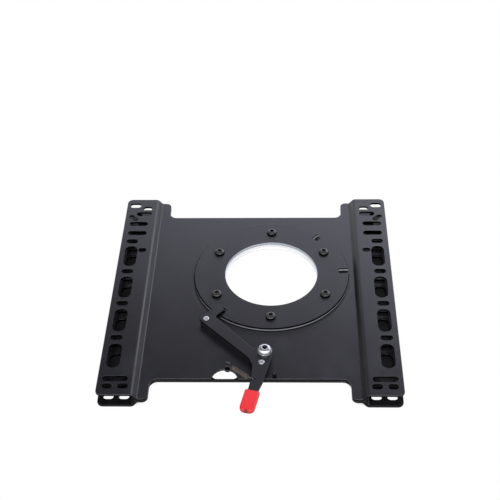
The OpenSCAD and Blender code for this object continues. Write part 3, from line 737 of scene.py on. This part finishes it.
paper = bpy.data.materials.new("white_paper")
paper.use_nodes = True
paper_tree = paper.node_tree
paper_shader = paper_tree.nodes["Principled BSDF"]
paper_shader.inputs["Roughness"].default_value = 0.8
paper_shader.inputs["Specular IOR Level"].default_value = 0.1
on_table = Flow(paper_tree, paper_tree.nodes.new("ShaderNodeTexCoord").outputs["Object"])
table_x, table_y, _ = parts_of(on_table)
off_side, rearward = abs(table_x - PLATE_MID[0]), table_y - PLATE_MID[1]

# The paper is painted dark under the slotted flanges, a painted shade, and white round the object and in
# its centre hole.
shaded = off_side.between(FLANGE_IN, FLANGE_IN + 0.0005)
shaded = shaded * (1 - off_side.between(FLANGE_OUT, FLANGE_OUT + 0.0005))
shaded = shaded * rearward.between(FRONT_ROW, FRONT_ROW + 0.001)
shaded = shaded * (1 - rearward.between(REAR_ROW, REAR_ROW + 0.001))
in_hole = 1 - radius_of(on_table).between(BORE_R + 0.01, BORE_R + 0.0105)
open_sky = on_table.add("AmbientOcclusion", {"samples": 12}, {"Distance": 0.011}, out=1)
open_sky = open_sky.between(0.0, 0.45).larger(in_hole) * (1 - shaded)
feed(paper_shader, Base_Color=shaded.colours((0.42, 0.42, 0.425), (0.014, 0.014, 0.015)))
seen = seen_by(paper_tree, "Camera") + seen_by(paper_tree, "Glossy") + seen_by(paper_tree, "Transmission")
seen = seen.sum("MINIMUM", seen, 1.0) * open_sky
glow = paper_tree.nodes.new("ShaderNodeEmission")
glow.inputs["Color"].default_value = (1, 1, 1, 1)
glow.inputs["Strength"].default_value = 1.0
blend = seen.add("MixShader", None, {0: seen})
paper_tree.links.new(paper_shader.outputs[0], blend.socket.node.inputs[1])
paper_tree.links.new(glow.outputs[0], blend.socket.node.inputs[2])
paper_tree.links.new(blend.socket, paper_tree.nodes["Material Output"].inputs["Surface"])
table_mesh.materials.append(paper)

world = bpy.data.worlds.new("white_surround")
bpy.context.scene.world = world
world.use_nodes = True
sky_tree = world.node_tree
sky = sky_tree.nodes["Background"]
toward = Flow(sky_tree, sky_tree.nodes.new("ShaderNodeTexCoord").outputs["Generated"])
_, ahead_part, up_part = parts_of(toward)

# The walls beside and in front are bright at half height. They draw the light lines on the bends.
beside = (0 - ahead_part).between(-0.25, 0.15)
level = 0.13 + beside * up_part.between(0.05, 0.3) * (1 - up_part.between(0.55, 0.8)) * 1.6

# The camera sees white everywhere. Glossy and transmission rays see it only low down, and see
# the grey surround above, so that the black plates don't turn pale.
backdrop = 1 - up_part.between(0.1, 0.3)
seen = (seen_by(sky_tree, "Glossy") + seen_by(sky_tree, "Transmission")) * backdrop
seen = seen_by(sky_tree, "Camera") + seen
sky_tree.links.new((level + seen * (1 - level)).socket, sky.inputs["Strength"])
sky.inputs["Color"].default_value = (0.94, 0.945, 1.0, 1)


def softbox(name, place, aim, size, watts, colour=(1, 1, 1)):
    """A rectangular area lamp at place, turned to aim."""
    lamp = bpy.data.lights.new(name, "AREA")
    lamp.shape = "RECTANGLE"
    lamp.size, lamp.size_y = size
    lamp.energy = watts
    lamp.color = colour
    holder = bpy.data.objects.new(name, lamp)
    holder.location = place
    holder.rotation_euler = (Vector(aim) - Vector(place)).to_track_quat("-Z", "Y").to_euler()
    bpy.context.scene.collection.objects.link(holder)


softbox("rear_card", (0.52, 0.82, 0.482), (0.25, 0, 0.0), (2.1, 0.72), 9.9, (0.83, 0.835, 1.0))
softbox("bend_light", (0.52, 0.8, 0.6), (-0.15, 0, 0.0), (0.4, 0.3), 1.2, (0.9, 0.9, 1.0))
softbox("far_card", (-0.66, 1.0, 0.12), (0.1, 0.1, 0.0), (0.34, 0.3), 0.45)
softbox("front_softbox", (0.0, -1.4, 1.5), (0, 0, 0), (2.2, 0.5), 25)

CAMERA_AT = (0.01906, -1.01196, 0.9531)
LOOK_DOWN = math.radians(41.64)
YAW = math.radians(-2.607)
ROLL = -0.0316
level_reach = math.cos(LOOK_DOWN)
ahead = Vector((math.sin(YAW) * level_reach, math.cos(YAW) * level_reach, -math.sin(LOOK_DOWN)))
right = Vector((math.cos(YAW), -math.sin(YAW), 0))
up = right.cross(ahead)
side = right * math.cos(ROLL) + up * math.sin(ROLL)
crown = up * math.cos(ROLL) - right * math.sin(ROLL)
lens = bpy.data.cameras.new("studio_camera")
lens.sensor_width = 36
lens.lens = 75.74
lens.clip_start, lens.clip_end = 0.05, 50
camera = bpy.data.objects.new("studio_camera", lens)
camera.matrix_world = Matrix((
    (side.x, crown.x, -ahead.x, CAMERA_AT[0]),
    (side.y, crown.y, -ahead.y, CAMERA_AT[1]),
    (side.z, crown.z, -ahead.z, CAMERA_AT[2]),
    (0, 0, 0, 1),
))
bpy.context.scene.collection.objects.link(camera)
bpy.context.scene.camera = camera
bpy.context.scene.view_settings.view_transform = "Standard"
